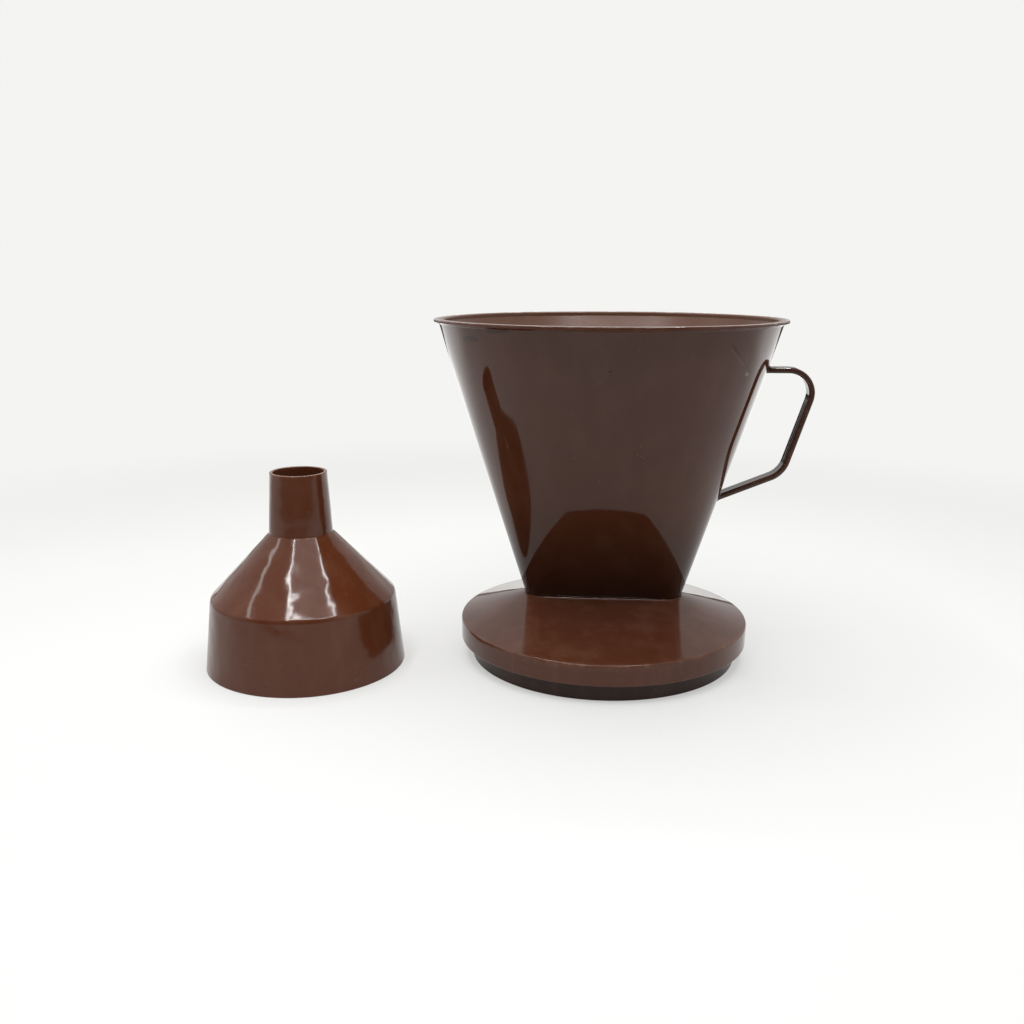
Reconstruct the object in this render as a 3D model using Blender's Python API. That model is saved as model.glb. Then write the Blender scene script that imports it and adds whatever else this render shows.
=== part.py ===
"""Brown plastic pour over dripper, and the loose flask adapter that belongs to it.

The dripper stands on its pot ring: a filter cone on a sloping base disc, with a strap handle on its
+X side. The cone's foot is a slot along X and its rim is a circle. The adapter stands beside it with
its mouth down. Metres, +Z up. Z = 0 is the surface that both stand on, and the origin is under the
middle of the pair's bounding box.
"""

import math

import bmesh
import bpy
from mathutils import Vector

# Clearance left between two pieces that touch
GAP = 0.0003

# Filter cone: rim and wall
RIM_RADIUS = 0.0730
DRIPPER_HEIGHT = 0.1459
LIP_REACH = 0.0022
LIP_DEPTH = 0.0020
LIP_EDGE = 0.0011
LIP_ROUND = 0.0003
CONE_WALL = 0.0018

# Filter cone: slot shaped foot, and the spigot that goes down through the disc
FOOT_HALF_LENGTH = 0.0343
FOOT_HALF_WIDTH = 0.0090
FOOT_SEAT_WIDTH = 0.0022
FOOT_THICKNESS = 0.0022
SPIGOT_DEPTH = 0.0065
SPIGOT_WALL = 0.0016
FLOOR_THICKNESS = 0.0020
DRIP_HOLE_RADIUS = 0.0018
DRIP_HOLE_SPACING = 0.0160
DRIP_HOLE_COUNT = 3
DRIP_HOLE_SIDES = 24

# Filter cone: ribs that hold the paper off the wall
RIB_COUNT = 7
RIB_WIDTH = 0.0012
RIB_HEIGHT = 0.0010
RIB_ROOT = 0.0007
RIB_FOOT_CLEARANCE = 0.0035
RIB_LENGTH = 0.0690
RIB_FOOT_SPACING = 0.0068
RIB_TOP_SPACING = 0.0118
RIB_STATIONS = 7

# Base disc
DISC_RADIUS = 0.0624
SEAT_HEIGHT = 0.0265
EDGE_HEIGHT = 0.0167
SKIRT_BOTTOM = 0.0079
SHEET = 0.0022
EDGE_ROUND = 0.0009
SKIRT_EDGE = 0.0003

# Pot ring, set in from the inside of the disc's skirt
RING_INSET = 0.0027
RING_WALL = 0.0020
RING_EDGE = 0.0004

# Handle: a flat strap bent round two corners
STRAP_THICKNESS = 0.0024
STRAP_WIDTH = 0.0080
STRAP_EDGE = 0.0006
STRAP_TOP_DROP = 0.0197
STRAP_FOOT_HEIGHT = 0.0696
GRIP_STANDOFF = 0.0229
LOWER_BAR_RISE = math.radians(22.5)
TOP_BEND_RADIUS = 0.0097
LOW_BEND_RADIUS = 0.0110
HEEL_HEIGHT = 0.0028
HEEL_LENGTH = 0.0021

# Flask adapter
MOUTH_RADIUS = 0.0424
SHOULDER_RADIUS = 0.0389
SHOULDER_HEIGHT = 0.0305
SHOULDER_ROUND = 0.0030
NECK_RADIUS = 0.0133
NECK_HEIGHT = 0.0577
SPOUT_RADIUS = 0.0119
ADAPTER_HEIGHT = 0.0833
ADAPTER_WALL = 0.0018
SPOUT_WALL = 0.0014
MOUTH_EDGE = 0.0003

# Where the adapter stands: its distance from the dripper's rim, and its direction from the axis
STAND_APART = 0.0147
STAND_DIRECTION = math.radians(190.25)

# Fineness of round stretches
ARC_STEP = math.radians(5.0)
ARC_END = math.radians(89.25)
BEND_STEPS = 10
SHOULDER_STEPS = 5
EDGE_STEPS = 2
TURN_STEPS = 72
SMOOTH_UNDER = math.radians(30.0)

# Sizes that follow from those above
FOOT_HEIGHT = SEAT_HEIGHT + GAP
FOOT_SPREAD = FOOT_HALF_LENGTH - FOOT_HALF_WIDTH
WALL_TOP_HEIGHT = DRIPPER_HEIGHT - LIP_DEPTH
WALL_TOP_RADIUS = RIM_RADIUS - LIP_REACH
SPIGOT_RADIUS = FOOT_HALF_WIDTH - FOOT_SEAT_WIDTH
SPIGOT_BOTTOM = SEAT_HEIGHT - SPIGOT_DEPTH
FLOOR_TOP = SPIGOT_BOTTOM + FLOOR_THICKNESS
RING_RADIUS = DISC_RADIUS - SHEET - RING_INSET
STRAP_TOP_HEIGHT = DRIPPER_HEIGHT - STRAP_TOP_DROP


def clear_scene():
    """Removes what the scene holds, so that only the model is left."""
    for leftover in list(bpy.data.objects):
        bpy.data.objects.remove(leftover, do_unlink=True)


def plastic(name, colour, roughness):
    """A glossy plastic of this linear colour."""
    material = bpy.data.materials.new(name)
    material.use_nodes = True
    shader = material.node_tree.nodes["Principled BSDF"]
    shader.inputs["Base Color"].default_value = (*colour, 1.0)
    shader.inputs["Roughness"].default_value = roughness
    shader.inputs["Metallic"].default_value = 0.0
    return material


def add_object(name, shape, material, parent):
    """Turns a bmesh into a named object under its parent empty, shaded smooth on its round faces."""
    bmesh.ops.recalc_face_normals(shape, faces=shape.faces[:])
    mesh = bpy.data.meshes.new(name)
    shape.to_mesh(mesh)
    shape.free()
    mesh.shade_smooth()
    mesh.set_sharp_from_angle(angle=SMOOTH_UNDER)
    if material is not None:
        mesh.materials.append(material)
    piece = bpy.data.objects.new(name, mesh)
    piece.parent = parent
    bpy.context.scene.collection.objects.link(piece)
    return piece


def add_empty(name, place):
    """An empty on an upright axis, which carries the pieces of one body."""
    empty = bpy.data.objects.new(name, None)
    empty.location = place
    bpy.context.scene.collection.objects.link(empty)
    return empty


def combine(piece, operation, helper):
    """Joins a helper's solids to a piece, or cuts them from it. The helper itself is left out."""
    helper.hide_render = True
    helper.display_type = "WIRE"
    modifier = piece.modifiers.new(helper.name, "BOOLEAN")
    modifier.operation = operation
    modifier.solver = "EXACT"
    modifier.object = helper


def half_turn():
    """Angles from -90 to 90 degrees. The ends stop just short, so a straight side keeps its corners."""
    steps = int(ARC_END // ARC_STEP)
    return [-ARC_END] + [index * ARC_STEP for index in range(-steps, steps + 1)] + [ARC_END]


def slot_loop(radius, spread, height):
    """Points round a slot along X, anticlockwise from above. A spread of 0 makes it a circle."""
    right = []
    left = []
    for angle in half_turn():
        across = spread + radius * math.cos(angle)
        along = radius * math.sin(angle)
        right.append(Vector((across, along, height)))
        left.append(Vector((-across, -along, height)))
    return right + left


def skin(shape, loops, closed):
    """Joins each loop to the next with a band of faces, and the last to the first where it is closed.

    Loops that run up the outside and down the inside give faces that point out. An open run of loops
    gets a face over its first loop and one over its last.
    """
    rings = [[shape.verts.new(point) for point in loop] for loop in loops]
    pairs = list(zip(rings, rings[1:]))
    if closed:
        pairs.append((rings[-1], rings[0]))
    for lower, upper in pairs:
        count = len(lower)
        for index in range(count):
            following = (index + 1) % count
            shape.faces.new((lower[index], lower[following], upper[following], upper[index]))
    if not closed:
        shape.faces.new(reversed(rings[0]))
        shape.faces.new(rings[-1])


# ---------------------------------------------------------------- filter cone


def cone_slot(height, inset=0.0):
    """Radius and spread of the cone's wall at a height, moved in from the outside by inset."""
    share = (height - FOOT_HEIGHT) / (WALL_TOP_HEIGHT - FOOT_HEIGHT)
    radius = FOOT_HALF_WIDTH + (WALL_TOP_RADIUS - FOOT_HALF_WIDTH) * share
    return radius - inset, FOOT_SPREAD * (1.0 - share)


def cone_reach(height):
    """Distance from the axis to the outside of the wall, along X."""
    return sum(cone_slot(height))


def cone_loops():
    """Loops of the cone: up the outside from the spigot's end, over the lip, and down the inside."""
    inner_foot = FOOT_HEIGHT + FOOT_THICKNESS
    inner_radius, inner_spread = cone_slot(inner_foot, CONE_WALL)
    mouth_radius = WALL_TOP_RADIUS - CONE_WALL
    spigot_bore = SPIGOT_RADIUS - SPIGOT_WALL
    top = DRIPPER_HEIGHT
    lip_under = top - LIP_EDGE
    return [
        slot_loop(SPIGOT_RADIUS, FOOT_SPREAD, SPIGOT_BOTTOM),
        slot_loop(SPIGOT_RADIUS, FOOT_SPREAD, FOOT_HEIGHT),
        slot_loop(FOOT_HALF_WIDTH, FOOT_SPREAD, FOOT_HEIGHT),
        slot_loop(WALL_TOP_RADIUS, 0.0, WALL_TOP_HEIGHT),
        slot_loop(RIM_RADIUS - LIP_ROUND, 0.0, lip_under),
        slot_loop(RIM_RADIUS, 0.0, lip_under + LIP_ROUND),
        slot_loop(RIM_RADIUS, 0.0, top - LIP_ROUND),
        slot_loop(RIM_RADIUS - LIP_ROUND, 0.0, top),
        slot_loop(mouth_radius + LIP_ROUND, 0.0, top),
        slot_loop(mouth_radius, 0.0, top - LIP_ROUND),
        slot_loop(mouth_radius, 0.0, WALL_TOP_HEIGHT),
        slot_loop(inner_radius, inner_spread, inner_foot),
        slot_loop(spigot_bore, FOOT_SPREAD, FOOT_HEIGHT),
        slot_loop(spigot_bore, FOOT_SPREAD, FLOOR_TOP),
    ]


def rib_station(share, foot_x, top_x, side):
    """Four corners of a rib's section at a share of its length, on the wall at this side of the slot."""
    height = FOOT_HEIGHT + RIB_FOOT_CLEARANCE + share * RIB_LENGTH
    x = foot_x + (top_x - foot_x) * share
    radius, spread = cone_slot(height, CONE_WALL)
    past_end = max(abs(x) - spread, 0.0)
    outward = Vector((math.copysign(past_end, x), side * math.sqrt(radius**2 - past_end**2), 0.0))
    foot = Vector((x, outward.y, height))
    outward.normalize()
    sideways = Vector((-outward.y, outward.x, 0.0)) * (RIB_WIDTH / 2.0)
    root = foot + outward * RIB_ROOT
    crest = foot - outward * RIB_HEIGHT
    return [root - sideways, root + sideways, crest + sideways, crest - sideways]


def add_ribs(cone, parent):
    """Fans the ribs over the inside of both long walls."""
    shape = bmesh.new()
    for side in (-1.0, 1.0):
        for index in range(RIB_COUNT):
            from_middle = index - (RIB_COUNT - 1) / 2.0
            stations = []
            for station in range(RIB_STATIONS):
                share = station / (RIB_STATIONS - 1)
                foot_x = from_middle * RIB_FOOT_SPACING
                top_x = from_middle * RIB_TOP_SPACING
                stations.append(rib_station(share, foot_x, top_x, side))
            skin(shape, stations, closed=False)
    ribs = add_object("rib_solids", shape, None, parent)
    combine(cone, "UNION", ribs)


def add_drip_holes(cone, parent):
    """Drills the row of drip holes through the floor of the spigot."""
    shape = bmesh.new()
    cutter_length = 2.0 * FLOOR_THICKNESS
    for index in range(DRIP_HOLE_COUNT):
        x = (index - (DRIP_HOLE_COUNT - 1) / 2.0) * DRIP_HOLE_SPACING
        drilled = bmesh.ops.create_cone(
            shape,
            cap_ends=True,
            segments=DRIP_HOLE_SIDES,
            radius1=DRIP_HOLE_RADIUS,
            radius2=DRIP_HOLE_RADIUS,
            depth=cutter_length,
        )
        middle = Vector((x, 0.0, FLOOR_TOP - FLOOR_THICKNESS / 2.0))
        bmesh.ops.translate(shape, verts=drilled["verts"], vec=middle)
    holes = add_object("drip_hole_cutters", shape, None, parent)
    combine(cone, "DIFFERENCE", holes)


def build_filter_cone(parent):
    """The wedge cone with its lip, ribs, spigot and drip holes."""
    shape = bmesh.new()
    skin(shape, cone_loops(), closed=False)
    material = plastic("filter_cone_plastic", (0.050, 0.017, 0.009), 0.10)
    cone = add_object("filter_cone", shape, material, parent)
    add_ribs(cone, parent)
    add_drip_holes(cone, parent)
    return cone


# ---------------------------------------------------------------- base disc and pot ring


def disc_slot(share):
    """Radius, spread and height on the disc's slope: 0 at the cone's foot, 1 at the round edge."""
    radius = FOOT_HALF_WIDTH + (DISC_RADIUS - FOOT_HALF_WIDTH) * share
    height = SEAT_HEIGHT + (EDGE_HEIGHT - SEAT_HEIGHT) * share
    return radius, FOOT_SPREAD * (1.0 - share), height


def slope_share(x, y):
    """The share of the disc's slope at which its slot passes through this point."""
    halvings = 40
    low = 0.0
    high = 1.0
    for _ in range(halvings):
        share = (low + high) / 2.0
        radius, spread, _ = disc_slot(share)
        past_end = max(abs(x) - spread, 0.0)
        if math.hypot(past_end, y) > radius:
            low = share
        else:
            high = share
    return (low + high) / 2.0


def underside_loop(radius, clearance):
    """A circle drawn on the underside of the slope, or lower by this clearance."""
    points = slot_loop(radius, 0.0, 0.0)
    for point in points:
        height = disc_slot(slope_share(point.x, point.y))[2]
        point.z = height - SHEET - clearance
    return points


def build_base_disc(parent):
    """The sheet that slopes from the cone's foot to a round edge, with its skirt and its slot."""
    opening = SPIGOT_RADIUS + GAP
    bore = DISC_RADIUS - SHEET
    slope_length = DISC_RADIUS - FOOT_HALF_LENGTH
    round_radius, round_spread, round_height = disc_slot(1.0 - EDGE_ROUND / slope_length)
    under_radius, under_spread, under_height = disc_slot(1.0 - SHEET / slope_length)
    loops = [
        slot_loop(DISC_RADIUS - SKIRT_EDGE, 0.0, SKIRT_BOTTOM),
        slot_loop(DISC_RADIUS, 0.0, SKIRT_BOTTOM + SKIRT_EDGE),
        slot_loop(DISC_RADIUS, 0.0, EDGE_HEIGHT - EDGE_ROUND),
        slot_loop(round_radius, round_spread, round_height),
        slot_loop(FOOT_HALF_WIDTH, FOOT_SPREAD, SEAT_HEIGHT),
        slot_loop(opening, FOOT_SPREAD, SEAT_HEIGHT),
        slot_loop(opening, FOOT_SPREAD, SEAT_HEIGHT - SHEET),
        slot_loop(FOOT_HALF_WIDTH, FOOT_SPREAD, SEAT_HEIGHT - SHEET),
        slot_loop(under_radius, under_spread, under_height - SHEET),
        underside_loop(bore, 0.0),
        slot_loop(bore, 0.0, SKIRT_BOTTOM + SKIRT_EDGE),
        slot_loop(bore + SKIRT_EDGE, 0.0, SKIRT_BOTTOM),
    ]
    shape = bmesh.new()
    skin(shape, loops, closed=True)
    material = plastic("base_disc_plastic", (0.046, 0.016, 0.009), 0.10)
    return add_object("base_disc", shape, material, parent)


def build_pot_ring(parent):
    """The ring under the disc, which stands in or on the pot's mouth."""
    bore = RING_RADIUS - RING_WALL
    loops = [
        slot_loop(RING_RADIUS - RING_EDGE, 0.0, 0.0),
        slot_loop(RING_RADIUS, 0.0, RING_EDGE),
        underside_loop(RING_RADIUS, GAP),
        underside_loop(bore, GAP),
        slot_loop(bore, 0.0, RING_EDGE),
        slot_loop(bore + RING_EDGE, 0.0, 0.0),
    ]
    shape = bmesh.new()
    skin(shape, loops, closed=True)
    material = plastic("pot_ring_plastic", (0.036, 0.013, 0.008), 0.14)
    return add_object("pot_ring", shape, material, parent)


# ---------------------------------------------------------------- handle


def wall_lean():
    """How far the wall moves out along X for each metre of height."""
    return (WALL_TOP_RADIUS - FOOT_HALF_LENGTH) / (WALL_TOP_HEIGHT - FOOT_HEIGHT)


def bend(before, corner, after, radius, steps):
    """Points of a round bend of this radius between two straight stretches."""
    inward = (before - corner).normalized()
    outward = (after - corner).normalized()
    half_angle = inward.angle(outward) / 2.0
    to_tangent = radius / math.tan(half_angle)
    centre = corner + (inward + outward).normalized() * (radius / math.sin(half_angle))
    start = corner + inward * to_tangent - centre
    end = corner + outward * to_tangent - centre
    turn = start.angle(end)
    points = []
    for index in range(steps + 1):
        share = index / steps
        weight_start = math.sin((1.0 - share) * turn) / math.sin(turn)
        weight_end = math.sin(share * turn) / math.sin(turn)
        points.append(centre + start * weight_start + end * weight_end)
    return points


def strap_path():
    """Middle line of the strap in the XZ plane, from the wall at its top to the wall at its foot."""
    lean = wall_lean()
    rise = LOWER_BAR_RISE
    half = STRAP_THICKNESS / 2.0
    grip_offset = (GRIP_STANDOFF - half) * math.hypot(1.0, lean)
    top_z = STRAP_TOP_HEIGHT - half
    foot_z = STRAP_FOOT_HEIGHT + half / math.cos(rise)
    start = Vector((cone_reach(top_z), 0.0, top_z))
    foot = Vector((cone_reach(STRAP_FOOT_HEIGHT), 0.0, foot_z))
    top_corner = Vector((start.x + grip_offset, 0.0, top_z))
    grip_at_foot = cone_reach(foot_z) + grip_offset
    climb = (grip_at_foot - foot.x) / (1.0 - lean * math.tan(rise))
    low_corner = Vector((foot.x + climb, 0.0, foot_z + climb * math.tan(rise)))
    heel = start + Vector((HEEL_LENGTH, 0.0, 0.0))
    upper = bend(start, top_corner, low_corner, TOP_BEND_RADIUS, BEND_STEPS)
    lower = bend(top_corner, low_corner, foot, LOW_BEND_RADIUS, BEND_STEPS)
    return [start, heel] + upper + lower + [foot]


def strap_section():
    """Outline of the strap's section as (out, along Y) pairs, with its four edges rounded."""
    half_out = STRAP_THICKNESS / 2.0 - STRAP_EDGE
    half_along = STRAP_WIDTH / 2.0 - STRAP_EDGE
    outline = []
    for quarter, (side_out, side_along) in enumerate(((1, 1), (-1, 1), (-1, -1), (1, -1))):
        for step in range(EDGE_STEPS + 1):
            angle = math.radians(90.0 * (quarter + step / EDGE_STEPS))
            out = side_out * half_out + STRAP_EDGE * math.cos(angle)
            along = side_along * half_along + STRAP_EDGE * math.sin(angle)
            outline.append((out, along))
    return outline


def to_wall(point, direction):
    """Slides a point along the strap until it is GAP away from the wall."""
    lean = wall_lean()
    short = cone_reach(point.z) + GAP - point.x
    return point + direction * (short / (direction.x - lean * direction.z))


def strap_loops():
    """Sections of the strap along its middle line. The first rises into a small heel on the wall."""
    path = strap_path()
    loops = []
    for index, point in enumerate(path):
        before = path[max(index - 1, 0)]
        after = path[min(index + 1, len(path) - 1)]
        direction = (after - before).normalized()
        out = Vector((-direction.z, 0.0, direction.x))
        loop = []
        for step_out, step_along in strap_section():
            corner = point + out * step_out + Vector((0.0, step_along, 0.0))
            if index == 0:
                corner += out * HEEL_HEIGHT * (step_out / STRAP_THICKNESS + 0.5)
            if index in (0, len(path) - 1):
                corner = to_wall(corner, direction)
            loop.append(corner)
        loops.append(loop)
    return loops


def build_handle(parent):
    """The strap handle, bent in one plane and cut to the slope of the wall at both ends."""
    shape = bmesh.new()
    skin(shape, strap_loops(), closed=False)
    material = plastic("handle_plastic", (0.046, 0.018, 0.012), 0.12)
    return add_object("handle", shape, material, parent)


# ---------------------------------------------------------------- flask adapter


def rounded_shoulder(radius, height, round_radius):
    """Profile points round the shoulder's corner, from the cone above it to the skirt below it."""
    corner = Vector((radius, 0.0, height))
    above = Vector((NECK_RADIUS, 0.0, NECK_HEIGHT)) - Vector((SHOULDER_RADIUS, 0.0, SHOULDER_HEIGHT))
    below = Vector((MOUTH_RADIUS - SHOULDER_RADIUS, 0.0, -SHOULDER_HEIGHT))
    return bend(corner + above, corner, corner + below, round_radius, SHOULDER_STEPS)


def adapter_profile():
    """Closed profile of the adapter's wall at +X: down its outside and back up its inside."""
    slope = math.hypot(SHOULDER_RADIUS - NECK_RADIUS, NECK_HEIGHT - SHOULDER_HEIGHT)
    drop = ADAPTER_WALL * slope / (SHOULDER_RADIUS - NECK_RADIUS)
    bore_neck = NECK_RADIUS - SPOUT_WALL
    bore_shoulder = SHOULDER_RADIUS - ADAPTER_WALL
    fall = (NECK_HEIGHT - SHOULDER_HEIGHT) / (SHOULDER_RADIUS - NECK_RADIUS)
    inner_neck_height = NECK_HEIGHT - drop + SPOUT_WALL * fall
    inner_shoulder_height = SHOULDER_HEIGHT - drop + ADAPTER_WALL * fall
    inner_round = SHOULDER_ROUND - ADAPTER_WALL / 2.0
    edge = MOUTH_EDGE
    outside = [
        Vector((SPOUT_RADIUS - edge, 0.0, ADAPTER_HEIGHT)),
        Vector((SPOUT_RADIUS, 0.0, ADAPTER_HEIGHT - edge)),
        Vector((NECK_RADIUS, 0.0, NECK_HEIGHT)),
    ]
    outside += rounded_shoulder(SHOULDER_RADIUS, SHOULDER_HEIGHT, SHOULDER_ROUND)
    outside += [
        Vector((MOUTH_RADIUS, 0.0, edge)),
        Vector((MOUTH_RADIUS - edge, 0.0, 0.0)),
    ]
    inside = [
        Vector((MOUTH_RADIUS - ADAPTER_WALL + edge, 0.0, 0.0)),
        Vector((MOUTH_RADIUS - ADAPTER_WALL, 0.0, edge)),
    ]
    inside += rounded_shoulder(bore_shoulder, inner_shoulder_height, inner_round)[::-1]
    inside += [
        Vector((bore_neck, 0.0, inner_neck_height)),
        Vector((SPOUT_RADIUS - SPOUT_WALL, 0.0, ADAPTER_HEIGHT - edge)),
        Vector((SPOUT_RADIUS - SPOUT_WALL + edge, 0.0, ADAPTER_HEIGHT)),
    ]
    return outside + inside


def build_flask_adapter(parent):
    """The loose funnel: skirt, sloping shoulder and spout, turned from one profile."""
    shape = bmesh.new()
    corners = [shape.verts.new(point) for point in adapter_profile()]
    for index, corner in enumerate(corners):
        shape.edges.new((corner, corners[(index + 1) % len(corners)]))
    material = plastic("flask_adapter_plastic", (0.056, 0.019, 0.010), 0.09)
    adapter = add_object("flask_adapter", shape, material, parent)
    turn = adapter.modifiers.new("turn", "SCREW")
    turn.axis = "Z"
    turn.angle = math.tau
    turn.steps = TURN_STEPS
    turn.render_steps = TURN_STEPS
    turn.use_merge_vertices = True
    turn.merge_threshold = 0.00001
    turn.use_smooth_shade = True
    return adapter


# ---------------------------------------------------------------- the pair


def standing_places():
    """Where the two axes stand, so that the origin is under the middle of the pair's box."""
    apart = RIM_RADIUS + STAND_APART + MOUTH_RADIUS
    aside = Vector((math.cos(STAND_DIRECTION), math.sin(STAND_DIRECTION), 0.0)) * apart
    handle_end = max(point.x for loop in strap_loops() for point in loop)
    low = Vector((min(-RIM_RADIUS, aside.x - MOUTH_RADIUS), min(-RIM_RADIUS, aside.y - MOUTH_RADIUS), 0.0))
    high = Vector((handle_end, max(RIM_RADIUS, aside.y + MOUTH_RADIUS), 0.0))
    dripper_place = (low + high) / -2.0
    return dripper_place, dripper_place + aside


def main():
    """Builds the pair."""
    clear_scene()
    dripper_place, adapter_place = standing_places()
    dripper = add_empty("dripper_axis", dripper_place)
    adapter = add_empty("adapter_axis", adapter_place)
    build_filter_cone(dripper)
    build_base_disc(dripper)
    build_pot_ring(dripper)
    build_handle(dripper)
    build_flask_adapter(adapter)


main()
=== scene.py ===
"""Looks of a brown plastic pour over dripper and its loose flask adapter.

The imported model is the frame: every surface here is worked out in metres in its axes, +Z up, from the
same sizes. A round or wedge shaped piece is a profile carried round a loop. The loop is a slot along X:
two half circles of one radius whose centres lie apart by a spread, and a spread of 0 makes it a circle.
"""

import logging  # noqa: E402
import math  # noqa: E402
from collections.abc import Callable  # noqa: E402
from dataclasses import dataclass, field  # noqa: E402
from enum import Enum  # noqa: E402

import bmesh  # noqa: E402
import bpy  # noqa: E402
import numpy as np  # noqa: E402
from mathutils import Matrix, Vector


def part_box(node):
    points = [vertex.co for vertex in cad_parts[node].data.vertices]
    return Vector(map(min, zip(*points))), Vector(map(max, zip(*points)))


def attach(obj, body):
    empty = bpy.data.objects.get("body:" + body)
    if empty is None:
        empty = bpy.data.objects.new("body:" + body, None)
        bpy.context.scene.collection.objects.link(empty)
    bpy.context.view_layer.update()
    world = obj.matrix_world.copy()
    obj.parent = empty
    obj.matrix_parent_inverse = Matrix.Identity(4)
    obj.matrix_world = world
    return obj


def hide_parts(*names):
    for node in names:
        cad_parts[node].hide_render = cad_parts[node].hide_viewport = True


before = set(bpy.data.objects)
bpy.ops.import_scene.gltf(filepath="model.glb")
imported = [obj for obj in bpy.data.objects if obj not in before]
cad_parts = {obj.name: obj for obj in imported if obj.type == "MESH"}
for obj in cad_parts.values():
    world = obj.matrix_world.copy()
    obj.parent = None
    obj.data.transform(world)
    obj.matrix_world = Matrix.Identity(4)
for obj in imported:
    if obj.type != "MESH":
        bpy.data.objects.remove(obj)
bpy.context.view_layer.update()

log = logging.getLogger("dripper")

Points = np.ndarray
Triple = tuple[float, float, float]
Colour = Triple

MERGE_DISTANCE = 2e-6
SHADING_HOLD = 0.00012
TINY = 1e-6


class Body(Enum):
    """The two bodies of the frame that pieces ride on."""

    DRIPPER = "dripper"
    ADAPTER = "adapter"


class Slot(Enum):
    """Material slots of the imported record."""

    CONE = "cone_plastic"
    DISC = "disc_plastic"
    RING = "ring_plastic"
    HANDLE = "handle_plastic"
    ADAPTER = "adapter_plastic"


# ------------------------------------------------------------------ surfaces from arrays


def unit(vectors: Points) -> Points:
    """Vectors divided by their own length, along the last axis."""
    return vectors / np.linalg.norm(vectors, axis=-1, keepdims=True)


def smooth_step(values: Points) -> Points:
    """0 below 0, 1 above 1, and 3v^2 - 2v^3 between."""
    held = np.clip(values, 0.0, 1.0)
    return held * held * (3.0 - 2.0 * held)


def bell(distance: Points, width: float) -> Points:
    """Bell curve: e to the power -(distance / width)^2."""
    return np.exp(-((distance / width) ** 2))


def full_turn(steps: int) -> Points:
    """Angles of a whole turn, from 0, without the last one, which would repeat the first."""
    return np.linspace(0.0, math.tau, steps, endpoint=False)


def polar(points: Points) -> tuple[Points, Points]:
    """Each point's angle round the Z axis and its distance from that axis."""
    return np.arctan2(points[..., 1], points[..., 0]), np.hypot(points[..., 0], points[..., 1])


def pull_in(points: Points, inward: Points) -> None:
    """Moves the points towards the Z axis by these distances."""
    _, outward = polar(points)
    points[..., :2] *= (1.0 - inward / np.maximum(outward, TINY))[..., None]


def round_corner(before: Points, corner: Points, after: Points, radius: float, steps: int) -> Points:
    """Arc that touches both straight runs at a corner.

    The centre lies on the corner's bisector at radius / sin(half angle), and the arc's points are the two
    touching radii blended by sines, which keeps their length.

    Args:
        before: A point on the run that comes in.
        corner: The sharp corner.
        after: A point on the run that goes out.
        radius: The arc's radius.
        steps: How many stretches the arc has.

    Returns:
        Array of steps + 1 points.
    """
    inward, outward = unit(before - corner), unit(after - corner)
    half = math.acos(float(np.clip(inward @ outward, -1.0, 1.0))) / 2.0
    centre = corner + unit(inward + outward) * (radius / math.sin(half))
    reach = radius / math.tan(half)
    start, end = corner + inward * reach - centre, corner + outward * reach - centre
    turn = math.pi - 2.0 * half
    share = np.linspace(0.0, 1.0, steps + 1)[:, None]
    return centre + (np.sin((1.0 - share) * turn) * start + np.sin(share * turn) * end) / math.sin(turn)


def trace(corners: list[tuple[float, ...]], closed: bool, pace: float, arc_steps: int = 5) -> Points:
    """A profile with its corners rounded and its straight runs divided.

    Each run is divided evenly at about the pace, and gets one more point close to each end, so that the
    shading of a wide flat does not bend towards its rounded edge.

    Args:
        corners: Rows of coordinates whose last value is the corner's radius, 0 for a sharp one.
        closed: Whether the last corner joins the first.
        pace: Wanted length of one stretch of a straight run.
        arc_steps: Stretches in each rounded corner.

    Returns:
        Array of profile points.
    """
    table = np.array(corners, float)
    spots, radii = table[:, :-1], table[:, -1]
    count = len(spots)
    arcs = []
    for index in range(count):
        inner = closed or 0 < index < count - 1
        if inner and radii[index] > 0.0:
            around = spots[index - 1], spots[index], spots[(index + 1) % count]
            arcs.append(round_corner(*around, radii[index], arc_steps))
        else:
            arcs.append(spots[index : index + 1])
    runs = []
    for index, arc in enumerate(arcs):
        runs.append(arc)
        if index == count - 1 and not closed:
            break
        start, end = arc[-1], arcs[(index + 1) % count][0]
        length = float(np.linalg.norm(end - start))
        if length > 4.0 * SHADING_HOLD:
            even = np.linspace(0.0, 1.0, max(int(length / pace), 1) + 1)[1:-1]
            hold = SHADING_HOLD / length
            share = np.concatenate([[hold], even, [1.0 - hold]])
            runs.append(start + (end - start) * share[:, None])
    return np.concatenate(runs)


def slot_loops(profile: Points, arc_steps: int, side_steps: int) -> Points:
    """Carries a profile of (radius, spread, height) rows round slot shaped loops.

    A point of the right end is (spread + r cos a, r sin a, h) for a from -90 to 90 degrees. A long side is
    y = r with x from spread to -spread, and the left end and the near side mirror both.

    Args:
        profile: Rows of radius, spread and height.
        arc_steps: Stretches in each half circle.
        side_steps: Stretches in each long side.

    Returns:
        Array of shape (rows, columns, 3), anticlockwise from above.
    """
    angle = np.linspace(-math.pi / 2.0, math.pi / 2.0, arc_steps + 1)
    along = np.linspace(1.0, -1.0, side_steps + 1)[1:-1]
    ends = np.concatenate([np.ones(arc_steps + 1), along])
    cosine = np.concatenate([np.cos(angle), np.zeros(side_steps - 1)])
    sine = np.concatenate([np.sin(angle), np.ones(side_steps - 1)])
    ends, cosine, sine = (np.concatenate([part, -part]) for part in (ends, cosine, sine))
    radius, spread, height = (profile[:, k, None] for k in range(3))
    return np.stack([spread * ends + radius * cosine, radius * sine, height + 0.0 * cosine], axis=-1)


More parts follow.
